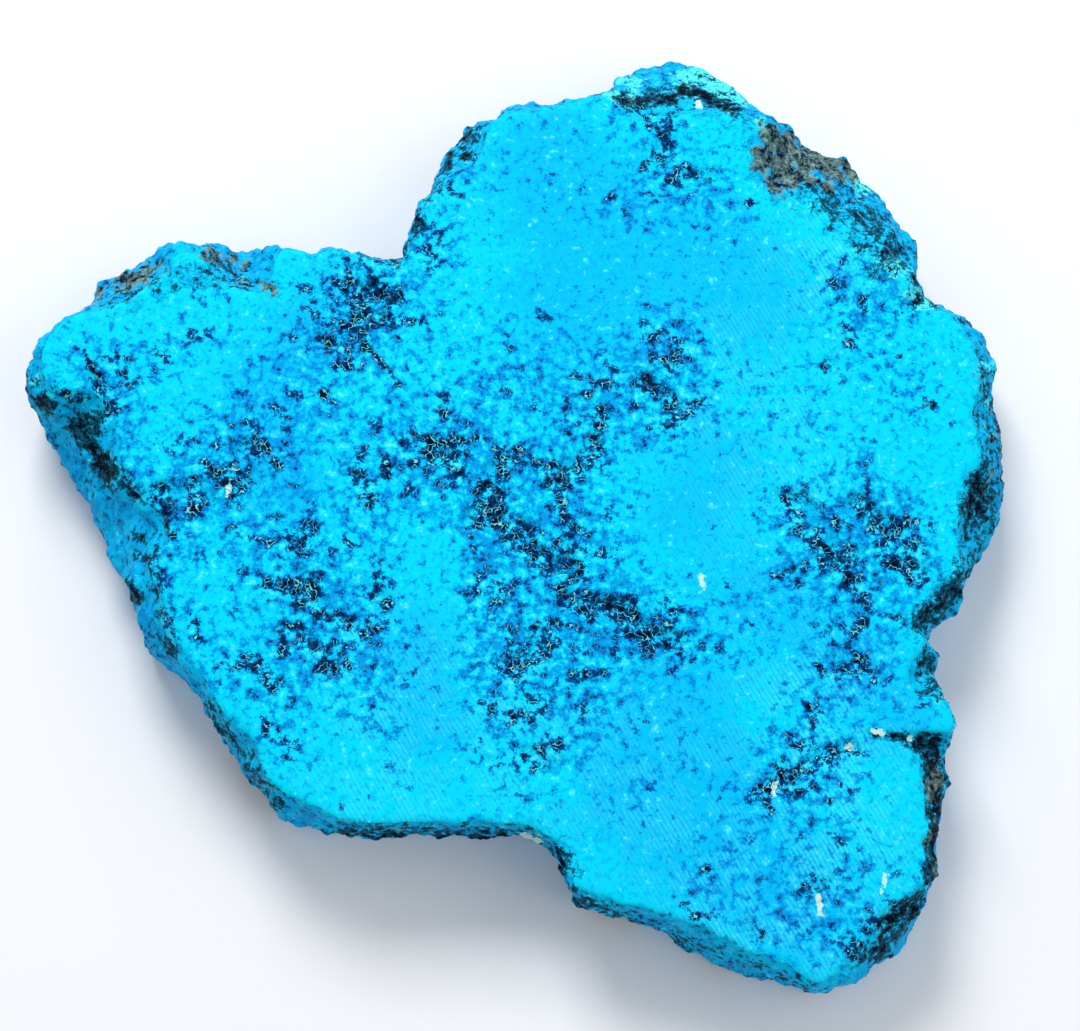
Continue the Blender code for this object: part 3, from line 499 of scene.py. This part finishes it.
# Grey-green host rock left on the rind.
HOST_ROCK = [
    (1.0, 3.0, [(31.0, 47.0), (34.6, 45.6), (38.2, 44.6)]),
    (0.9, 2.0, [(30.4, 43.6), (31.6, 42.2)]),
    (0.7, 1.6, [(-50.6, 28.6), (-47.4, 30.2)]),
    (0.7, 1.4, [(-45.4, 30.4), (-43.0, 31.8)]),
    (0.7, 1.6, [(-36.4, 33.2), (-34.4, 31.8), (-33.0, 31.0)]),
    (0.7, 1.2, [(-31.0, 29.6), (-29.4, 29.2)]),
    (0.5, 2.0, [(47.8, -28.0), (48.4, -34.0), (48.2, -40.0)]),
    (0.5, 2.4, [(56.4, 12.0), (56.8, 7.0)]),
]


def squared_distance(line, places):
    """Squared distance of each place from a line through one or more points."""
    nearest = np.full(len(places), np.inf)
    for start, end in zip(np.array(line[:-1] or line), np.array(line[1:] or line)):
        along = end - start
        way = places - start
        share = way @ along / max(along @ along, 1e-9)
        way = way - np.clip(share, 0, 1)[:, None] * along
        nearest = np.minimum(nearest, (way * way).sum(axis=1))
    return nearest


def plan_field(strokes, places, weight=1.0, spread=0.0):
    """How strongly the strokes cover each place: 0 where none comes near, up to 1."""
    bare = np.ones(len(places))
    for strength, half_width, line in strokes:
        away = squared_distance(line, places) / (half_width + spread) ** 2
        bare *= 1 - weight * strength * np.exp(-0.7 * away)
    return 1 - bare


def select_only(piece):
    bpy.ops.object.select_all(action="DESELECT")
    piece.select_set(True)
    bpy.context.view_layer.objects.active = piece


def apply_modifier(piece, kind, **settings):
    select_only(piece)
    modifier = piece.modifiers.new(kind, kind)
    for name, value in settings.items():
        setattr(modifier, name, value)
    bpy.ops.object.modifier_apply(modifier=modifier.name)


def vertex_group(piece, name, weights):
    group = piece.vertex_groups.new(name=name)
    for i in np.flatnonzero(weights > 0):
        group.add([int(i)], float(weights[i]), "REPLACE")
    return group.name


def points_and_normals(piece):
    count = len(piece.data.vertices)
    points = np.empty(count * 3, np.float32)
    normals = np.empty(count * 3, np.float32)
    piece.data.vertices.foreach_get("co", points)
    piece.data.vertices.foreach_get("normal", normals)
    return points.reshape(-1, 3).astype(float), normals.reshape(-1, 3).astype(float)


def put_points(piece, points):
    piece.data.vertices.foreach_set("co", points.astype(np.float32).ravel())
    piece.data.update()


def smooth_step(low, high, value):
    share = np.clip((value - low) / (high - low), 0, 1)
    return share * share * (3 - 2 * share)


def seen_on_face(points):
    """Where the camera sees each point against the plane of the face, in plan millimetres."""
    reach = (THICKNESS - EYE[2]) / (points[:, 2] - EYE[2])
    return (EYE + (points - EYE) * reach[:, None])[:, :2] / MM - PLAN_SHIFT


def fine_copy(node):
    """A merged copy of the solid, meshed evenly and smoothed on its rim, coarse on its back."""
    piece = node.copy()
    piece.data = node.data.copy()
    piece.parent = None
    piece.name = "turquoise_stone"
    bpy.context.scene.collection.objects.link(piece)
    select_only(piece)
    bpy.ops.object.mode_set(mode="EDIT")
    bpy.ops.mesh.select_all(action="SELECT")
    bpy.ops.mesh.remove_doubles(threshold=0.00001)
    bpy.ops.object.mode_set(mode="OBJECT")
    apply_modifier(piece, "REMESH", mode="VOXEL", voxel_size=FINE_STEP)

    heights = points_and_normals(piece)[0][:, 2]
    rim = smooth_step(0.7 * MM, 1.6 * MM, THICKNESS - heights) * smooth_step(0, 0.8 * MM, heights)
    group = vertex_group(piece, "rim", rim)
    apply_modifier(piece, "SMOOTH", factor=0.5, iterations=5, vertex_group=group)
    back = np.where(points_and_normals(piece)[0][:, 2] < 0.1 * MM, 1.0, 0.0)
    group = vertex_group(piece, "back", back)
    kept = 1 - 0.9 * back.mean()
    apply_modifier(piece, "DECIMATE", ratio=kept, vertex_group=group)
    return piece


def crust_height(place):
    """Height of the rim's crust at one point in space, about -1 to 1."""
    near, next_near = noise.voronoi(place / (1.7 * MM))[0][:2]
    grains = 1.4 * (next_near - near) - 0.5
    return 0.8 * grains + 1.1 * noise.fractal(place / (1.4 * MM), 0.8, 2.0, 3)


def markings(points, normals):
    """Each marking's strength at each point, 0 to 1. Drifts stand in where the camera can't see."""
    depth = THICKNESS - points[:, 2]
    places = seen_on_face(points)
    seen = smooth_step(-0.05, 0.1, ((EYE - points) * normals).sum(axis=1) / DISTANCE)
    drifts = np.array([noise.fractal(Vector(point) / DRIFT_WIDTH, 1.0, 2.0, 3) for point in points])
    hidden_veins = smooth_step(0.15, 0.6, drifts)

    def field(strokes, unseen):
        return seen * plan_field(strokes, places) + (1 - seen) * unseen

    vein_haze = seen * plan_field(VEINS, places, HAZE_SHARE, HAZE_SPREAD)
    haze = np.maximum(vein_haze, (1 - seen) * hidden_veins)
    mottled = 0.35 * smooth_step(-0.3, 0.4, drifts) * smooth_step(0.8 * MM, 2.0 * MM, depth)
    return {
        "veins": field(VEINS, 0.8 * hidden_veins),
        "haze": 1 - (1 - haze) * (1 - field(CLOUDY_PATCHES, 0.0)),
        "azure": field(AZURE_PATCHES, 0.5),
        "sawn": field(SAWN_PATCHES, 0.4),
        "chips": field(PALE_CHIPS, 0.0),
        "dark_rind_and_shade": np.maximum(field(DARK_RIND_AND_SHADE, smooth_step(-0.1, 0.5, drifts)), mottled),
        "pale_and_lit_rind": field(PALE_AND_LIT_RIND, 0.2),
        "host_rock": field(HOST_ROCK, smooth_step(0.35, 0.7, -drifts)),
    }


def face_cover(points, normals, veins):
    """1 on the sawn face and in the crumbled hollows along its veins, 0 on the rim."""
    depth = THICKNESS - points[:, 2]
    flat = (1 - smooth_step(0.15 * MM, 0.7 * MM, depth)) * smooth_step(0.5, 0.93, normals[:, 2])
    crumbled = smooth_step(0.3, 0.7, veins) * (1 - smooth_step(0.9 * MM, 1.6 * MM, depth))
    return np.maximum(flat, crumbled)


def relief(points, marks, on_face):
    """How far each point rises, in millimetres."""
    crust = np.array([crust_height(Vector(point)) for point in points])
    broken = np.maximum(marks["dark_rind_and_shade"], marks["host_rock"])
    crusted = np.maximum(marks["rind"], 0.7 * broken)
    rise = crusted * (CRUST_RISE + BROKEN_RISE * broken) * (crust - 0.3 * broken)
    rise += CHIP_RISE * marks["chips"]
    rise -= on_face * VEIN_SINK * smooth_step(0.5, 0.95, marks["veins"]) * (0.7 + crust)
    return rise * smooth_step(0.0, 0.4 * MM, points[:, 2])


def shape_surface(piece):
    """Raises the rim's crust, sinks crumbled veins, and stores what the material needs."""
    points, normals = points_and_normals(piece)
    marks = markings(points, normals)
    on_face = face_cover(points, normals, marks["veins"])
    on_back = smooth_step(-0.9, -0.97, normals[:, 2]) * (points[:, 2] < 0.3 * MM)
    marks["rind"] = (1 - on_face) * (1 - on_back)
    rise = relief(points, marks, on_face) * MM
    put_points(piece, points + rise[:, None] * normals)
    for name, strength in marks.items():
        layer = piece.data.attributes.new(name, "FLOAT", "POINT")
        layer.data.foreach_set("value", strength.astype(np.float32))


def add(tree, kind, inputs=None, **settings):
    """A new node: settings are its own properties, inputs are values or sockets to link."""
    made = tree.nodes.new("ShaderNode" + kind)
    for name, value in settings.items():
        setattr(made, name, value)
    for key, value in (inputs or {}).items():
        if isinstance(value, bpy.types.NodeSocket):
            tree.links.new(value, made.inputs[key])
        else:
            made.inputs[key].default_value = value
    return made


def attribute(tree, name):
    return add(tree, "Attribute", attribute_name=name).outputs["Fac"]


def ramp(tree, value, low, high, to_low=0.0, to_high=1.0):
    inputs = {"Value": value, "From Min": low, "From Max": high, "To Min": to_low, "To Max": to_high}
    return add(tree, "MapRange", inputs, interpolation_type="SMOOTHSTEP").outputs[0]


def maths(tree, operation, *values):
    return add(tree, "Math", dict(enumerate(values)), operation=operation).outputs[0]


def blend(tree, factor, first, second):
    inputs = {"Factor": factor, 6: first, 7: second}
    return add(tree, "Mix", inputs, data_type="RGBA").outputs[2]


def clouds(tree, place, width, detail=3.0, roughness=0.6, distortion=0.0):
    """Fractal noise whose largest forms are about width millimetres wide."""
    inputs = {
        "Vector": place,
        "Scale": 1 / width,
        "Detail": detail,
        "Roughness": roughness,
        "Distortion": distortion,
    }
    return add(tree, "TexNoise", inputs).outputs["Fac"]


def group(name, inputs, outputs):
    """An empty node group with its sockets; also its input and output nodes."""
    tree = bpy.data.node_groups.new(name, "ShaderNodeTree")
    for label, kind in inputs.items():
        tree.interface.new_socket(label, in_out="INPUT", socket_type="NodeSocket" + kind)
    for label, kind in outputs.items():
        tree.interface.new_socket(label, in_out="OUTPUT", socket_type="NodeSocket" + kind)
    return tree, tree.nodes.new("NodeGroupInput").outputs, tree.nodes.new("NodeGroupOutput").inputs


def saw_lines(tree, place):
    """Fine slanting lines, half a millimetre apart, as a saw leaves them."""
    slant = {"Vector": place, "Angle": math.radians(-30)}
    turned = add(tree, "VectorRotate", slant, rotation_type="Z_AXIS").outputs[0]
    lines = {"Vector": turned, "Scale": 0.6, "Distortion": 4.0, "Detail": 2.0, "Detail Scale": 0.2}
    return add(tree, "TexWave", lines).outputs["Fac"]


def veined_stone():
    """The turquoise itself: cyan to azure, speckled blue, with veins of dark granular matrix."""
    tree, given, result = group(
        "veined stone",
        {"Place": "Vector", "Veins": "Float", "Haze": "Float", "Azure": "Float", "Sawn": "Float"},
        {"Color": "Color", "Height": "Float"},
    )
    place = given["Place"]
    moss = clouds(tree, place, 1.2, detail=5, roughness=0.68)
    broad = clouds(tree, place, 4.0, detail=3, roughness=0.7)
    deep = ramp(tree, maths(tree, "ADD", given["Azure"], broad), 0.55, 1.2)
    base = blend(tree, deep, CYAN, AZURE)
    base = blend(tree, ramp(tree, moss, 0.40, 0.32, 0, 0.7), base, CHALK)

    saw = maths(tree, "MULTIPLY", saw_lines(tree, place), given["Sawn"])
    saw = maths(tree, "MULTIPLY", saw, ramp(tree, broad, 0.42, 0.56))
    squiggles = clouds(tree, place, 0.7, detail=2)
    base = blend(tree, ramp(tree, squiggles, 0.50, 0.62, 0, 0.5), base, FLANK)
    base = blend(tree, maths(tree, "MULTIPLY", saw, 0.35), base, CHALK)

    soft = maths(tree, "MULTIPLY_ADD", given["Haze"], 0.16, moss)
    total = maths(tree, "MULTIPLY_ADD", given["Veins"], 0.16, soft)
    stained = maths(tree, "MULTIPLY_ADD", given["Haze"], 0.25, moss)
    dark = ramp(tree, total, 0.735, 0.765)
    for cover, colour in (
        (ramp(tree, stained, 0.625, 0.685, 0, 0.8), STAIN),
        (ramp(tree, total, 0.68, 0.71, 0, 0.95), MID_BLUE),
        (dark, NAVY),
        (ramp(tree, total, 0.785, 0.84), BLACK),
    ):
        base = blend(tree, cover, base, colour)
    # Pale glinting squiggles in the darkest veins: pale grains, partly painted highlight.
    curls = clouds(tree, place, 0.9, detail=1.5)
    ridge = maths(tree, "ABSOLUTE", maths(tree, "SUBTRACT", curls, 0.5))
    lit = maths(tree, "MULTIPLY", ramp(tree, ridge, 0.035, 0.02), ramp(tree, total, 0.715, 0.77))
    lit = maths(tree, "MULTIPLY", lit, ramp(tree, broad, 0.37, 0.49))
    tree.links.new(blend(tree, lit, base, GLINT), result["Color"])
    height = maths(tree, "MULTIPLY_ADD", saw, 0.25, maths(tree, "MULTIPLY", dark, -1.0))
    tree.links.new(maths(tree, "ADD", height, lit), result["Height"])
    return tree


def crusted_rind():
    """The natural outside: lumpy turquoise crust, dark rind and grey-green host rock, with painted
    shade on its lower walls and painted light on its upper rim.
    """
    tree, given, result = group(
        "crusted rind",
        {"Place": "Vector", "Dark": "Float", "Rock": "Float", "Pale": "Float"},
        {"Color": "Color", "Height": "Float"},
    )
    place = given["Place"]
    crumbs = clouds(tree, place, 1.1, detail=4, roughness=0.8)
    broad = clouds(tree, place, 3.0, detail=4, roughness=0.7)
    height = add(tree, "SeparateXYZ", {0: place}).outputs["Z"]
    # The walls are deep flank blue, partly painted shade, and turn cyan toward the top of the rim as
    # painted light.
    base = blend(tree, ramp(tree, broad, 0.42, 0.62), FLANK, AZURE)
    base = blend(tree, ramp(tree, height, 12.0, 15.5, 0, 0.3), base, CYAN)
    # Pale crust, and painted highlight on the lit upper rims.
    pale_and_lit_at = maths(tree, "MULTIPLY_ADD", given["Pale"], 0.3, broad)
    base = blend(tree, ramp(tree, pale_and_lit_at, 0.68, 0.76, 0, 0.9), base, CHALK)
    base = blend(tree, ramp(tree, crumbs, 0.50, 0.60, 0, 0.8), base, MID_BLUE)
    base = blend(tree, ramp(tree, crumbs, 0.45, 0.39, 0, 0.6), base, AZURE)
    # Dark rind and veins, with painted shade on the lower walls, turn teal and black.
    dark_at = maths(tree, "MULTIPLY_ADD", given["Dark"], 0.29, crumbs)
    base = blend(tree, ramp(tree, dark_at, 0.62, 0.68, 0, 0.95), base, TEAL)
    base = blend(tree, ramp(tree, dark_at, 0.73, 0.79), base, BLACK)
    base = blend(tree, ramp(tree, crumbs, 0.38, 0.34, 0, 0.5), base, CHALK)
    rock = blend(tree, ramp(tree, crumbs, 0.50, 0.57), ROCK, BLACK)
    rock = blend(tree, ramp(tree, crumbs, 0.47, 0.40, 0, 0.8), rock, PALE_ROCK)
    rock_at = maths(tree, "MULTIPLY_ADD", given["Rock"], 0.34, broad)
    base = blend(tree, ramp(tree, rock_at, 0.68, 0.76, 0, 0.95), base, rock)
    tree.links.new(base, result["Color"])
    tree.links.new(crumbs, result["Height"])
    return tree


def stone_material():
    material = bpy.data.materials.new("turquoise")
    material.use_nodes = True
    tree = material.node_tree
    shader = tree.nodes["Principled BSDF"]
    shader.inputs["Specular IOR Level"].default_value = 0.03
    shader.inputs["Roughness"].default_value = 0.55

    coordinates = add(tree, "TexCoord").outputs["Object"]
    place = add(tree, "VectorMath", {0: coordinates, "Scale": 1 / MM}, operation="SCALE").outputs[0]
    face = add(tree, "Group", node_tree=veined_stone())
    crust = add(tree, "Group", node_tree=crusted_rind())
    rind = attribute(tree, "rind")
    dark_rind_and_shade = attribute(tree, "dark_rind_and_shade")
    host_rock = attribute(tree, "host_rock")
    for node, socket, source in (
        (face, "Place", place),
        (face, "Veins", attribute(tree, "veins")),
        (face, "Haze", attribute(tree, "haze")),
        (face, "Azure", attribute(tree, "azure")),
        (face, "Sawn", attribute(tree, "sawn")),
        (crust, "Place", place),
        (crust, "Dark", maths(tree, "MAXIMUM", dark_rind_and_shade, attribute(tree, "veins"))),
        (crust, "Rock", host_rock),
        (crust, "Pale", attribute(tree, "pale_and_lit_rind")),
    ):
        tree.links.new(source, node.inputs[socket])

    broken = maths(tree, "MAXIMUM", rind, maths(tree, "MAXIMUM", dark_rind_and_shade, host_rock))
    edge = clouds(tree, place, 1.6, detail=4, roughness=0.75)
    is_rind = ramp(tree, maths(tree, "MULTIPLY_ADD", edge, 2.0, broken), 1.4, 1.55)
    colour = blend(tree, is_rind, face.outputs["Color"], crust.outputs["Color"])
    chips = maths(tree, "MULTIPLY_ADD", edge, -2.0, attribute(tree, "chips"))
    colour = blend(tree, ramp(tree, chips, -0.55, -0.45), colour, PALE_CHIP)
    tree.links.new(colour, shader.inputs["Base Color"])
    rise = add(
        tree,
        "Mix",
        {"Factor": is_rind, 2: face.outputs["Height"], 3: crust.outputs["Height"]},
        data_type="FLOAT",
    ).outputs[0]
    bump = add(tree, "Bump", {"Height": rise, "Strength": 0.9, "Distance": 0.2 * MM})
    tree.links.new(bump.outputs["Normal"], shader.inputs["Normal"])
    return material


def build_stone():
    piece = fine_copy(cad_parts["turquoise_slab"])
    shape_surface(piece)
    select_only(piece)
    bpy.ops.object.shade_smooth()
    piece.data.materials.clear()
    piece.data.materials.append(stone_material())
    piece.vertex_groups.clear()
    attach(piece, "root")
    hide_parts("turquoise_slab")


def plain_material(name, colour, roughness):
    material = bpy.data.materials.new(name)
    material.use_nodes = True
    shader = material.node_tree.nodes["Principled BSDF"]
    shader.inputs["Base Color"].default_value = colour
    shader.inputs["Roughness"].default_value = roughness
    return material


def build_stage():
    bpy.ops.mesh.primitive_plane_add(size=4)
    floor = bpy.context.active_object
    floor.name = "floor"
    floor.data.materials.append(plain_material("floor", (0.9, 0.91, 0.93, 1), 0.9))

    world = bpy.data.worlds.new("soft light")
    world.use_nodes = True
    background = world.node_tree.nodes["Background"]
    background.inputs["Color"].default_value = (0.96, 0.98, 1.0, 1)
    background.inputs["Strength"].default_value = 0.5
    bpy.context.scene.world = world


def add_light(name, place_mm, size_mm, watts):
    light = bpy.data.lights.new(name, "AREA")
    light.size = size_mm * MM
    light.energy = watts
    lamp = bpy.data.objects.new(name, light)
    lamp.location = Vector(place_mm) * MM
    lamp.rotation_euler = (-lamp.location).to_track_quat("-Z", "Y").to_euler()
    bpy.context.scene.collection.objects.link(lamp)


def add_camera():
    data = bpy.data.cameras.new("camera")
    data.lens = LENS
    data.sensor_width = 36
    data.clip_start = 0.01
    camera = bpy.data.objects.new("camera", data)
    camera.location = EYE
    camera.rotation_euler = (OFF_PLUMB, 0, 0)
    bpy.context.scene.collection.objects.link(camera)
    bpy.context.scene.camera = camera


build_stone()
build_stage()
add_light("key", (-110, 430, 500), 260, 3.2)
add_light("fill", (420, -80, 480), 500, 0.8)
add_camera()
bpy.context.scene.view_settings.view_transform = "Standard"
